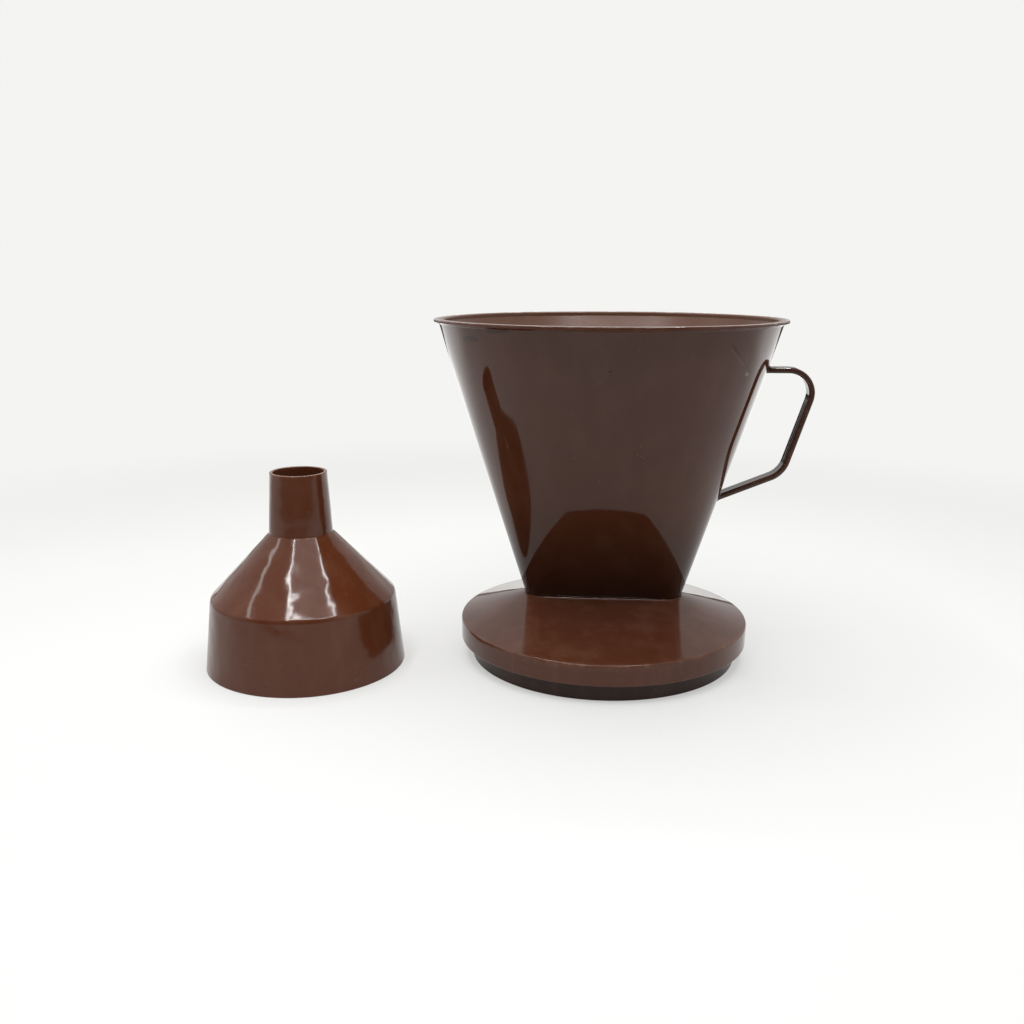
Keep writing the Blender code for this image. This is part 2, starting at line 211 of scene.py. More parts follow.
def turned_loops(profile: Points, columns: int) -> Points:
    """Carries a profile of (radius, height) rows round the Z axis: (r cos a, r sin a, h).

    Args:
        profile: Rows of radius and height.
        columns: Points in each loop.

    Returns:
        Array of shape (rows, columns, 3), anticlockwise from above.
    """
    angle = full_turn(columns)
    radius, height = profile[:, :1], profile[:, 1:2]
    return np.stack([radius * np.cos(angle), radius * np.sin(angle), height + 0.0 * angle], axis=-1)


def waves(angle: Points, orders: tuple[int, ...], seed: int) -> Points:
    """Sum of cosines of whole orders with seeded phases, scaled to stay between -1 and 1.

    Args:
        angle: Where the sum is wanted.
        orders: Waves in a whole turn, for each cosine.
        seed: Seed of the phases.

    Returns:
        The sum at each angle.
    """
    phases = np.random.default_rng(seed).uniform(0.0, math.tau, len(orders))
    total = sum(np.cos(order * angle + phase) for order, phase in zip(orders, phases))
    return total / len(orders)


@dataclass
class Shell:
    """Quads and points of one piece, collected from one or more grids of points."""

    points: list[Points] = field(default_factory=list)
    quads: list[Points] = field(default_factory=list)
    count: int = 0

    def add(self, grids: Points, wrap_rows: bool = False, wrap_columns: bool = True) -> "Shell":
        """Adds one grid, or a stack of grids of one size.

        A quad joins (row, column), (row, column + 1), (row + 1, column + 1) and (row + 1, column), so it
        faces out where rows climb and columns run anticlockwise.

        Args:
            grids: Array of shape (rows, columns, 3) or (grids, rows, columns, 3).
            wrap_rows: Whether the last row joins the first.
            wrap_columns: Whether the last column joins the first.

        Returns:
            The shell itself.
        """
        stack = grids if grids.ndim == 4 else grids[None]
        number, rows, columns, _ = stack.shape
        index = np.arange(rows * columns).reshape(rows, columns)
        if wrap_rows:
            index = np.concatenate([index, index[:1]])
        if wrap_columns:
            index = np.concatenate([index, index[:, :1]], axis=1)
        corners = [index[:-1, :-1], index[:-1, 1:], index[1:, 1:], index[1:, :-1]]
        quads = np.stack(corners, axis=-1).reshape(-1, 4)
        offsets = self.count + np.arange(number) * rows * columns
        self.quads.append((quads[None] + offsets[:, None, None]).reshape(-1, 4))
        self.points.append(stack.reshape(-1, 3))
        self.count += number * rows * columns
        return self

    def piece(self, name: str, place: Points, **shares: Points) -> bpy.types.Object:
        """Makes the object, with meeting points merged and every face shaded smooth.

        Args:
            name: The object's name.
            place: Where the shell's own origin stands.
            shares: One share from 0 to 1 for each point, kept for the materials to read: wear that also
                carries painted highlights, and haze that also carries a painted sheen.

        Returns:
            The new object, at the origin with its place in its mesh.
        """
        points, quads = np.concatenate(self.points) + place, np.concatenate(self.quads)
        mesh = bpy.data.meshes.new(name)
        mesh.vertices.add(len(points))
        mesh.vertices.foreach_set("co", points.astype(np.float32).ravel())
        mesh.loops.add(quads.size)
        mesh.loops.foreach_set("vertex_index", quads.astype(np.int32).ravel())
        mesh.polygons.add(len(quads))
        mesh.polygons.foreach_set("loop_start", np.arange(0, quads.size, 4, dtype=np.int32))
        mesh.update(calc_edges=True)
        for kind, share in shares.items():
            attribute = mesh.attributes.new(kind, "FLOAT", "POINT")
            attribute.data.foreach_set("value", share.astype(np.float32).ravel())
        welded = bmesh.new()
        welded.from_mesh(mesh)
        bmesh.ops.remove_doubles(welded, verts=welded.verts[:], dist=MERGE_DISTANCE)
        bmesh.ops.dissolve_degenerate(welded, dist=MERGE_DISTANCE, edges=welded.edges[:])
        welded.to_mesh(mesh)
        welded.free()
        mesh.validate()
        mesh.shade_smooth()
        made = bpy.data.objects.new(name, mesh)
        bpy.context.scene.collection.objects.link(made)
        return made


def recalculate(piece: bpy.types.Object) -> None:
    """Turns every face of a closed piece outwards.

    Args:
        piece: The piece, whose mesh is changed.
    """
    shape = bmesh.new()
    shape.from_mesh(piece.data)
    bmesh.ops.recalc_face_normals(shape, faces=shape.faces[:])
    shape.to_mesh(piece.data)
    shape.free()


# ------------------------------------------------------------------ shader nodes


def operator(operation: str, turned: bool = False) -> Callable[["Wire", "Wire | float"], "Wire"]:
    """Makes a method that adds a Math node behind a wire.

    Args:
        operation: The Math node's operation.
        turned: Whether the other value comes first.

    Returns:
        The method, which takes the wire and the other value.
    """

    def method(wire: "Wire", other: "Wire | float") -> "Wire":
        """The operation's result on the wire and another value."""
        values = (other, wire) if turned else (wire, other)
        return wire.bench.node("Math", {"operation": operation}, dict(enumerate(values)))

    return method


class Wire:
    """One output socket, whose operators add Math nodes behind it. The most of two is the larger one."""

    __add__ = __radd__ = operator("ADD")
    __sub__ = operator("SUBTRACT")
    __rsub__ = operator("SUBTRACT", turned=True)
    __mul__ = __rmul__ = operator("MULTIPLY")
    __truediv__ = operator("DIVIDE")
    __pow__ = operator("POWER")
    most = operator("MAXIMUM")

    def __init__(self, bench: "Bench", socket: bpy.types.NodeSocket | None) -> None:
        """Keeps the socket, and the bench that its node stands on."""
        self.bench = bench
        self.socket = socket

    def size(self) -> "Wire":
        """Value without its sign."""
        return self.bench.node("Math", {"operation": "ABSOLUTE"}, {0: self})

    def ramp(self, low: float, high: float, at_low: float = 0.0, at_high: float = 1.0) -> "Wire":
        """Smooth step from one value to another between two thresholds.

        Args:
            low: Input at which the step starts.
            high: Input at which the step ends.
            at_low: Output up to there.
            at_high: Output from there on.

        Returns:
            The stepped value.
        """
        inputs = {"Value": self, "From Min": low, "From Max": high, "To Min": at_low, "To Max": at_high}
        return self.bench.node("MapRange", {"interpolation_type": "SMOOTHSTEP"}, inputs)


class Bench:
    """A node tree being filled."""

    def __init__(self, tree: bpy.types.NodeTree) -> None:
        """Clears the tree."""
        self.tree = tree
        tree.nodes.clear()

    def node(
        self,
        kind: str,
        settings: dict | None = None,
        inputs: dict | None = None,
        output: str | int = 0,
    ) -> Wire:
        """Adds one node.

        Args:
            kind: The node's type, without its ShaderNode prefix.
            settings: The node's own properties, set first.
            inputs: Values or wires by socket name or number.
            output: Which output the wire is taken from.

        Returns:
            The wire of that output, which is empty on a node that ends a tree.
        """
        made = self.tree.nodes.new("ShaderNode" + kind)
        for name, value in (settings or {}).items():
            setattr(made, name, value)
        for name, value in (inputs or {}).items():
            if isinstance(value, Wire):
                self.tree.links.new(value.socket, made.inputs[name])
            else:
                made.inputs[name].default_value = value
        return Wire(self, made.outputs[output] if len(made.outputs) else None)

    def vector(self, operation: str, *values: Wire | Triple, output: str | int = 0) -> Wire:
        """A Vector Math node of this operation on these values."""
        return self.node("VectorMath", {"operation": operation}, dict(enumerate(values)), output)

    def part(self, place: Wire, axis: int) -> Wire:
        """One coordinate, by its axis."""
        return self.node("SeparateXYZ", None, {0: place}, axis)

    def share(self, name: str) -> Wire:
        """A piece's own attribute, 0 where the piece lacks it."""
        return self.node("Attribute", {"attribute_name": name}, output="Fac")

    def blend(self, factor: Wire | float, low: Wire | Colour, high: Wire | Colour) -> Wire:
        """Colour between two colours, by a factor.

        Args:
            factor: Share of the second colour.
            low: The first colour.
            high: The second colour.

        Returns:
            The mixed colour.
        """
        tones = [tone if isinstance(tone, Wire) else (*tone, 1.0) for tone in (low, high)]
        settings = {"data_type": "RGBA", "blend_type": "MIX"}
        return self.node("Mix", settings, {"Factor": factor, 6: tones[0], 7: tones[1]}, output=2)

    def noise(
        self,
        place: Wire,
        scale: float,
        detail: float = 2.0,
        rough: float = 0.5,
        bend: float = 0.0,
    ) -> Wire:
        """Noise of about 1 / scale metres at these coordinates, around 0.5."""
        inputs = {"Vector": place, "Scale": scale, "Detail": detail, "Roughness": rough, "Distortion": bend}
        return self.node("TexNoise", {"noise_dimensions": "3D"}, inputs)

    def stretched(self, place: Wire, turn: Triple, scale: Triple, shift: Triple = (0.0, 0.0, 0.0)) -> Wire:
        """Coordinates turned and moved, then scaled on each axis."""
        turned = self.node("Mapping", None, {"Vector": place, "Rotation": turn, "Location": shift})
        return self.node("Mapping", None, {"Vector": turned, "Scale": scale})


@dataclass(frozen=True)
class Mark:
    """One handling mark: a ragged stroke along a straight line."""

    start: Triple
    end: Triple
    width: float
    tone: Colour

    def share(self, bench: Bench, place: Wire, ragged: Wire) -> Wire:
        """1 on the stroke and 0 off it.

        The stroke's point nearest to a place is start + d * clamp(d . (place - start), 0, length), where d
        is the stroke's direction.

        Args:
            bench: The tree to build in.
            place: Object coordinates.
            ragged: Noise that frays the stroke's outline.

        Returns:
            The share as a wire.
        """
        run = np.subtract(self.end, self.start)
        length = float(np.linalg.norm(run))
        ahead = tuple(float(part) for part in run / length)
        off = bench.vector("SUBTRACT", place, self.start)
        along = bench.vector("DOT_PRODUCT", off, ahead, output="Value")
        along = bench.node("Clamp", None, {"Value": along, "Min": 0.0, "Max": length})
        nearest = bench.node("VectorMath", {"operation": "SCALE"}, {0: ahead, "Scale": along})
        apart = bench.vector("DISTANCE", off, nearest, output="Value")
        return (apart / self.width + ragged * 0.8).ramp(0.7, 1.2, 1.0, 0.0)


@dataclass(frozen=True)
class Plastic:
    """A glossy moulded plastic with its flow clouds, handling marks, scratches, dust and worn edges, and
    with painted highlights on some edges, a painted sheen on the cone's inside and painted shade low down.

    A field that ends in _scale says how fine a noise is, in features for each metre. Heights, depths and
    the wobble count in height_unit. So does the bow, for each metre that the surface climbs: it tilts the
    shading of a straight wall as a slight bulge would.
    """

    name: str
    tone: Colour
    deep: Colour
    gloss: float
    smudge: float = 0.07
    scratch: float = 0.5
    bend: float = 1.0
    seed: float = 0.0
    worn_and_highlight_tone: Colour = (0.16, 0.085, 0.055)
    mote: Colour = (0.42, 0.36, 0.31)
    # Tone of the painted shade low on a piece.
    low_shade_tone: Colour = (0.012, 0.005, 0.003)
    marks: tuple[Mark, ...] = ()
    ior: float = 1.39
    bow: float = 0.0
    wobble: float = 0.02
    # Share of painted shade at the bottom, fading out between the two heights below.
    low_shade: float = 0.0
    low_shade_from: float = 0.028
    low_shade_to: float = 0.075
    cloud_scale: float = 26.0
    flow_scale: float = 95.0
    grime_scale: float = 48.0
    rub_scale: float = 260.0
    cell_scale: float = 520.0
    speck_scale: float = 120.0
    line_scale: Triple = (330.0, 330.0, 9.0)
    where_scale: Triple = (45.0, 45.0, 22.0)
    peel_scale: float = 210.0
    sink_scale: float = 34.0
    wobble_scale: float = 85.0
    sink_height: float = 0.014
    peel_height: float = 0.0016
    line_depth: float = 0.004
    mote_height: float = 0.004
    chafe_depth: float = 0.03
    dent_depth: float = 0.02
    height_unit: float = 0.001

    def scratches(self, bench: Bench, place: Wire, turn: Triple, shift: float) -> Wire:
        """One family of long fine scratches.

        A noise stretched along one direction crosses its middle value on long thin lines. A second, broad
        noise lets them show only here and there.

        Args:
            bench: The tree to build in.
            place: Object coordinates.
            turn: How the family is turned.
            shift: How far the pattern is moved, so that two families differ.

        Returns:
            1 on a scratch and 0 off it.
        """
        moved = (shift + self.seed, 2.0 * shift, -shift)
        lines = bench.noise(bench.stretched(place, turn, self.line_scale, moved), 1.0, 1.0)
        where = bench.noise(bench.stretched(place, turn, self.where_scale, moved), 1.0, 2.0)
        thin = (lines - 0.5).size().ramp(0.004, 0.012, 1.0, 0.0)
        return thin * where.ramp(0.56, 0.68)

    def material(self) -> bpy.types.Material:
        """Builds the finish on Object coordinates.

        Returns:
            The new material.
        """
        made = bpy.data.materials.new(self.name)
        made.use_nodes = True
        bench = Bench(made.node_tree)
        place = bench.node("TexCoord", output="Object")
        place = bench.node("Mapping", None, {"Vector": place, "Location": (self.seed, self.seed, 0.0)})
        # The wear share holds real wear and painted highlights; the haze share marks the cone's inside for
        # a painted sheen.
        wear, haze = bench.share("wear"), bench.share("haze")

        cloud = bench.noise(place, self.cloud_scale, 3.0, 0.55, 0.6).ramp(0.35, 0.68)
        down = bench.stretched(place, (0.0, 0.0, 0.0), (1.0, 1.0, 0.22))
        flow = bench.noise(down, self.flow_scale).ramp(0.4, 0.72)
        grime = bench.noise(place, self.grime_scale, 5.0, 0.62, 1.1).ramp(0.52, 0.74)
        rub = bench.noise(place, self.rub_scale, 4.0, 0.7).ramp(0.45, 0.7)
        cells = {"Vector": place, "Scale": self.cell_scale, "Randomness": 1.0}
        motes = bench.node("TexVoronoi", {"feature": "F1"}, cells).ramp(0.05, 0.10, 1.0, 0.0)
        motes = motes * bench.noise(place, self.speck_scale).ramp(0.6, 0.72)
        lines = self.scratches(bench, place, (0.35, 0.1, 0.0), 1.7)
        lines = lines.most(self.scratches(bench, place, (1.25, 0.4, 0.3), 5.2))
        lines = lines.most(self.scratches(bench, place, (0.2, 1.0, 1.1), 9.1))
        # Worn places, and the painted highlights on the disc's edge and bead, the strap's sides and the
        # spout's edge.
        chafe_and_highlight = wear * (rub * 0.7 + 0.3)

        tone = bench.blend(cloud * 0.4 + 0.3, self.deep, self.tone)
        for share, over in (
            (flow * 0.10, self.worn_and_highlight_tone),
            # Painted sheen: the cone's inside is lightened, and its roughness is raised below.
            (haze * (0.35 + 0.3 * grime), self.worn_and_highlight_tone),
            (lines * (0.22 * self.scratch), self.worn_and_highlight_tone),
            (motes * 0.55, self.mote),
            (chafe_and_highlight * 0.75, self.worn_and_highlight_tone),
        ):
            tone = bench.blend(share, tone, over)
        # Painted shade: the tone darkens towards the bottom, where the disc keeps light off the cone's
        # foot.
        if self.low_shade:
            low = bench.part(place, 2).ramp(self.low_shade_from, self.low_shade_to, self.low_shade, 0.0)
            tone = bench.blend(low, tone, self.low_shade_tone)

        rough = self.gloss + grime * self.smudge + flow * 0.015 + lines * (0.22 * self.scratch)
        rough = rough + motes * 0.3 + chafe_and_highlight * 0.22 + haze * (0.26 + grime * 0.12)

        height = bench.noise(place, self.sink_scale, 1.0, 0.4) * (self.sink_height * self.bend)
        height = height + bench.noise(place, self.peel_scale, 1.0, 0.4) * (self.peel_height * self.bend)
        height = height + bench.noise(place, self.wobble_scale, 1.5, 0.4) * self.wobble
        height = height + motes * self.mote_height - lines * (self.line_depth * self.scratch)
        height = height - chafe_and_highlight * self.chafe_depth
        for mark in self.marks:
            share = mark.share(bench, place, rub)
            tone = bench.blend(share * 0.7, tone, mark.tone)
            height = height - share * self.dent_depth
        if self.bow:
            height = height + bench.part(place, 2) * self.bow
        lift = {"Strength": 1.0, "Distance": self.height_unit, "Height": height}
        inputs = {
            "Base Color": tone,
            "Roughness": rough,
            "IOR": self.ior,
            "Normal": bench.node("Bump", None, lift, output="Normal"),
        }
        shader = bench.node("BsdfPrincipled", None, inputs)
        bench.node("OutputMaterial", None, {"Surface": shader})
        return made


# ------------------------------------------------------------------ pieces


def show(piece: bpy.types.Object, body: Body, slot: Slot, finish: bpy.types.Material, *nodes: str) -> None:
    """Dresses a finished piece, and says what it rides on and stands for.

    Args:
        piece: The object.
        body: The body that it moves with.
        slot: The record's slot of its finish; not used.
        finish: Its material.
        nodes: Names of the frame's nodes that it replaces.
    """
    piece.data.materials.append(finish)
    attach(piece, body.value)
    if nodes:
        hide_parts(*nodes)
    log.info("%s: %d faces, on %s", piece.name, len(piece.data.polygons), body.value)


def middle_of(node: str) -> Points:
    """Point on the ground under the middle of a node's box."""
    low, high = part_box(node)
    return np.array([(low.x + high.x) / 2.0, (low.y + high.y) / 2.0, 0.0])


@dataclass
class FilterCone:
    """The wedge cone: a slot shaped foot that opens into a round rim, with ribs inside and a drip floor."""

    place: Points
    rim_radius: float = 0.0730
    top: float = 0.1459
    lip_reach: float = 0.0022
    lip_depth: float = 0.0020
    lip_edge: float = 0.0011
    wall: float = 0.0018
    foot_height: float = 0.0268
    foot_radius: float = 0.0090
    foot_spread: float = 0.0253
    foot_thickness: float = 0.0022
    spigot_radius: float = 0.0068
    spigot_wall: float = 0.0016
    spigot_bottom: float = 0.0200
    floor_top: float = 0.0220
    floor_thickness: float = 0.0020
    floor_overlap: float = 0.0004
    floor_bevel: float = 0.00015
    hole_radius: float = 0.0018
    hole_spacing: float = 0.0160
    hole_count: int = 3
    rib_count: int = 7
    rib_width: float = 0.0013
    rib_height: float = 0.0010
    rib_root: float = 0.0007
    rib_foot: float = 0.0303
    rib_length: float = 0.0690
    rib_foot_spacing: float = 0.0068
    rib_top_spacing: float = 0.0118
    rib_taper: float = 0.0016
    warp_depth: float = 0.012
    warp: float = 0.00045
    warp_drop: float = 0.00022
    ripple: float = 0.00010
    ripple_drop: float = 0.00006
    chip_count: int = 44
    chip_bite: float = 0.00025
    chip_drop: float = 0.00045
    dot_count: int = 3
    dot_radius: float = 0.0009
    dot_height: float = 0.00022
    dot_spacing: float = 0.0052
    dot_level: float = 0.1290

    @property
    def wall_top(self) -> float:
        """Height at which the wall meets the lip."""
        return self.top - self.lip_depth

    @property
    def wall_top_radius(self) -> float:
        """Outside radius of the wall where it meets the lip."""
        return self.rim_radius - self.lip_reach

    def slot(self, height: Points | float, inset: float = 0.0) -> tuple:
        """Radius and spread of the outside wall at a height, moved in by inset. Both are linear in height.

        Args:
            height: Where the wall is asked for.
            inset: How far inside the outer face.

        Returns:
            The radius and the spread.
        """
        share = (height - self.foot_height) / (self.wall_top - self.foot_height)
        radius = self.foot_radius + (self.wall_top_radius - self.foot_radius) * share
        return radius - inset, self.foot_spread * (1.0 - share)

    def reach(self, height: Points | float) -> Points | float:
        """Distance from the axis to the outside of the wall, along X."""
        radius, spread = self.slot(height)
        return radius + spread

    def profile(self) -> Points:
        """Closed profile: up the outside from the spigot, over the lip, down the inside to the drip floor.

        Returns:
            Rows of radius, spread and height.
        """
        inner_foot = self.foot_height + self.foot_thickness
        inner_radius, inner_spread = self.slot(inner_foot, self.wall)
        mouth = self.wall_top_radius - self.wall
        bore = self.spigot_radius - self.spigot_wall
        spread, foot = self.foot_spread, self.foot_height
        under = self.top - self.lip_edge
        corners = [
            (bore, spread, self.spigot_bottom, 0.0002),
            (self.spigot_radius, spread, self.spigot_bottom, 0.0004),
            (self.spigot_radius, spread, foot, 0.0002),
            (self.foot_radius, spread, foot, 0.0003),
            (self.wall_top_radius, 0.0, self.wall_top, 0.0006),
            (self.rim_radius, 0.0, under, 0.00035),
            (self.rim_radius, 0.0, self.top, 0.00045),
            (mouth, 0.0, self.top, 0.0006),
            (mouth, 0.0, self.wall_top, 0.0),
            (inner_radius, inner_spread, inner_foot, 0.0006),
            (bore, spread, foot, 0.0005),
        ]
        return trace(corners, closed=True, pace=0.0022)

    def rim_wear(self, points: Points) -> tuple[Points, Points]:
        """Warps and chips the rim a little, always inwards and downwards.

        The lip's radius falls by a sum of slow waves in the angle, and each chip is a bell in the angle
        that takes a bite out of the lip's outer top edge.

        Args:
            points: Array of shape (rows, columns, 3).

        Returns:
            The moved points, and each point's share of wear.
        """
        angle, outward = polar(points)
        height = points[..., 2]
        near_rim = smooth_step((height - (self.wall_top - self.warp_depth)) / self.warp_depth)
        on_lip = smooth_step((height - (self.top - 0.0016)) / 0.0010)
        slow = (1.0 + waves(angle, (2, 3, 5), 11)) / 2.0
        quick = (1.0 + waves(angle, (17, 29, 41, 67), 5)) / 2.0
        rng = np.random.default_rng(23)
        ranges = (-math.pi, math.pi), (0.004, 0.014), (0.2, 1.0)
        centres, widths, depths = (rng.uniform(*span, self.chip_count) for span in ranges)
        chips = np.zeros_like(angle)
        for centre, width, depth in zip(centres, widths, depths):
            chips = chips + depth * bell(np.angle(np.exp(1j * (angle - centre))), width)
        bites = smooth_step((outward - (self.rim_radius - 0.0012)) / 0.0010) * chips
        inward = near_rim * slow * self.warp + on_lip * (quick * self.ripple + bites * self.chip_bite)
        moved = points.copy()
        pull_in(moved, inward)
        drop = slow * self.warp_drop + quick * self.ripple_drop + bites * self.chip_drop
        moved[..., 2] -= on_lip * drop
        lip = smooth_step((height - (self.top - 0.0022)) / 0.0008)
        return moved, np.clip(lip * 0.6 * quick**4 + on_lip * chips * 0.35, 0.0, 1.0)

    def body(self) -> bpy.types.Object:
        """The cone's wall, lip, foot and spigot as one closed shell.

        Returns:
            The cone.
        """
        profile = self.profile()
        outside, _ = self.slot(profile[:, 2], self.wall * 0.7)
        inner = (profile[:, 0] < outside) & (profile[:, 2] > self.foot_height + 0.001)
        points, wear = self.rim_wear(slot_loops(profile, 128, 20))
        # Painted sheen: the inside is marked to be lighter as well as rougher.
        inside = np.broadcast_to(inner[:, None].astype(float), points.shape[:2])
        return Shell().add(points, wrap_rows=True).piece("cone_body", self.place, wear=wear, haze=inside)

    def on_inner_wall(self, x: Points, height: Points, side: Points, inset: float) -> tuple[Points, Points]:
        """Point of the inner wall at this x and height on one side, and the level direction out of it.

        Args:
            x: Where along X.
            height: At which height.
            side: 1 for the wall at +Y and -1 for the one at -Y.
            inset: How far inside the wall's outer face.

        Returns:
            The points and the directions.
        """
        radius, spread = self.slot(height, inset)
        past = np.maximum(np.abs(x) - spread, 0.0)
        y = np.sqrt(np.maximum(radius**2 - past**2, 0.0)) * side
        out = unit(np.stack([np.sign(x) * past, y, 0.0 * y], axis=-1))
        return np.stack([x, y, height], axis=-1), out

    def ribs(self) -> bpy.types.Object:
        """The ribs that hold the paper off both long walls.

        Along a rib, x and the height are linear in the share s. Its section is a low arch: half its width
        times cos p sideways, and its height times sin p into the cone, sunk into the wall where sin p is
        negative. Both ends close to a point as the square root of the distance to them.

        Returns:
            The ribs as one piece.
        """
        side, number = np.meshgrid([-1.0, 1.0], np.arange(self.rib_count), indexing="ij")
        side, number = side.ravel()[:, None], number.ravel()[:, None] - (self.rib_count - 1) / 2.0
        share = 0.5 - 0.5 * np.cos(np.linspace(0.0, math.pi, 44))[None]
        x = number * (self.rib_foot_spacing + (self.rib_top_spacing - self.rib_foot_spacing) * share)
        height = self.rib_foot + share * self.rib_length + 0.0 * number
        root, out = self.on_inner_wall(x, height, side + 0.0 * x, self.wall)
        sideways = np.stack([-out[..., 1], out[..., 0], 0.0 * x], axis=-1)
        from_end = np.minimum(share, 1.0 - share) * self.rib_length
        near = np.clip(from_end / self.rib_taper, 0.0, 1.0)
        size = np.broadcast_to(np.sqrt(near * (2.0 - near)), x.shape)[..., None, None]
        turn = full_turn(20)
        across = np.cos(turn)[:, None] * self.rib_width / 2.0
        into = np.sin(turn)
        into = np.where(into > 0.0, into * self.rib_height, into * self.rib_root)[:, None]
        shape = size * (sideways[..., None, :] * across - out[..., None, :] * into)
        return Shell().add(root[..., None, :] + shape).piece("paper_ribs", self.place)

    def drip_floor(self) -> bpy.types.Object:
        """The floor plate with its row of drip holes.

        The plate is one cell for each hole. On a cell a ray at an angle runs from the hole's edge to
        whichever comes first: the cell's side, the plate's long edge, or the round end. The cells' top
        sheets are merged, and a Solidify modifier gives them their thickness.

        Returns:
            The plate.
        """
        edge = self.spigot_radius - self.spigot_wall + self.floor_overlap
        angle = full_turn(96)
        cosine, sine = np.cos(angle), np.sin(angle)
        centres = (np.arange(self.hole_count) - (self.hole_count - 1) / 2.0) * self.hole_spacing
        shell = Shell()
        for centre in centres:
            with np.errstate(divide="ignore"):
                to_side = np.abs(self.hole_spacing / 2.0 / cosine)
                to_long = np.abs(edge / sine)
            to_end = self.round_end(centre, cosine, sine, edge)
            outermost = abs(centre) > self.hole_spacing / 2.0
            to_the_end = outermost & (centre * cosine > TINY)
            outer = np.where(to_the_end, to_end, np.minimum(to_side, to_long))
            share = np.linspace(0.0, 1.0, 12)[:, None] ** 1.4
            ray = self.hole_radius + (outer - self.hole_radius) * share
            sheet = np.stack([centre + ray * cosine, ray * sine, self.floor_top + 0.0 * ray], axis=-1)
            shell.add(sheet[::-1])
        plate = shell.piece("drip_floor", self.place)
        thick = plate.modifiers.new("thickness", "SOLIDIFY")
        thick.thickness = self.floor_thickness
        thick.offset = -1.0
        soft = plate.modifiers.new("edges", "BEVEL")
        soft.width = self.floor_bevel
        soft.segments = 2
        soft.angle_limit = math.radians(50.0)
        return plate

    def round_end(self, centre: float, cosine: Points, sine: Points, edge: float) -> Points:
        """Length of each ray from a hole's centre to the slot's outline beyond its straight part.

        Args:
            centre: The hole's x.
            cosine: Cosine of each ray's angle.
            sine: Sine of each ray's angle.
            edge: Radius of the plate's round end.

        Returns:
            The length of each ray.
        """
        ahead = self.foot_spread - abs(centre)
        along = np.abs(cosine)
        root = np.sqrt(np.maximum(edge**2 - (ahead * sine) ** 2, 0.0))
        to_arc = ahead * along + root
        with np.errstate(divide="ignore"):
            to_long = np.abs(edge / sine)
        return np.where(to_long * along <= ahead, to_long, to_arc)

    def dots(self) -> bpy.types.Object:
        """Low round pips on the near wall. Each is a cap whose height falls as (1 - r^2)^0.8.

        Returns:
            The pips as one piece.
        """
        centres = (np.arange(self.dot_count) - (self.dot_count - 1) / 2.0) * self.dot_spacing
        radius, _ = self.slot(self.dot_level)
        lean = (self.wall_top_radius - self.foot_radius) / (self.wall_top - self.foot_height)
        right = np.array([1.0, 0.0, 0.0])
        up = unit(np.array([0.0, -lean, 1.0]))
        out = unit(np.array([0.0, -1.0, -lean]))
        share = np.linspace(1.15, 0.0, 12)[:, None]
        angle = full_turn(32)
        fall = np.clip(1.0 - share**2, -0.4, 1.0)
        rise = np.sign(fall) * np.abs(fall) ** 0.8 * self.dot_height + 0.0 * angle
        x = share * self.dot_radius * np.cos(angle)
        tall = share * self.dot_radius * np.sin(angle)
        root = np.array([0.0, -radius, self.dot_level])
        cap = root + x[..., None] * right + tall[..., None] * up + rise[..., None] * out
        follow = radius - np.sqrt(np.maximum(radius**2 - centres**2, 0.0))
        shifts = np.stack([centres, follow, 0.0 * centres], axis=-1)
        return Shell().add(cap[None] + shifts[:, None, None, :]).piece("wall_pips", self.place)

    def build(self) -> None:
        """Builds and dresses every piece of the cone."""
        dark, pale, grey = (0.020, 0.005, 0.002), (0.11, 0.040, 0.026), (0.20, 0.14, 0.11)
        marks = (
            Mark((-0.0122, -0.0420, 0.1396), (-0.0078, -0.0478, 0.1399), 0.0015, dark),
            Mark((-0.0027, -0.0543, 0.1432), (0.0050, -0.0603, 0.1437), 0.0011, dark),
            Mark((0.0869, -0.0524, 0.1386), (0.0957, -0.0372, 0.1272), 0.0006, dark),
            Mark((0.0860, -0.0530, 0.1375), (0.0925, -0.0430, 0.1305), 0.0004, pale),
            Mark((0.0943, -0.0388, 0.1268), (0.0951, -0.0376, 0.1264), 0.0007, grey),
        )
        finish = Plastic(
            "cone_gloss",
            tone=(0.074, 0.0225, 0.0104),
            deep=(0.062, 0.0185, 0.0085),
            gloss=0.045,
            marks=marks,
            bow=-66.0,
            wobble=0.04,
            # Painted shade towards the cone's foot.
            low_shade=0.6,
        ).material()
        show(self.body(), Body.DRIPPER, Slot.CONE, finish, "filter_cone")
        for part in (self.ribs(), self.drip_floor(), self.dots()):
            show(part, Body.DRIPPER, Slot.CONE, finish)


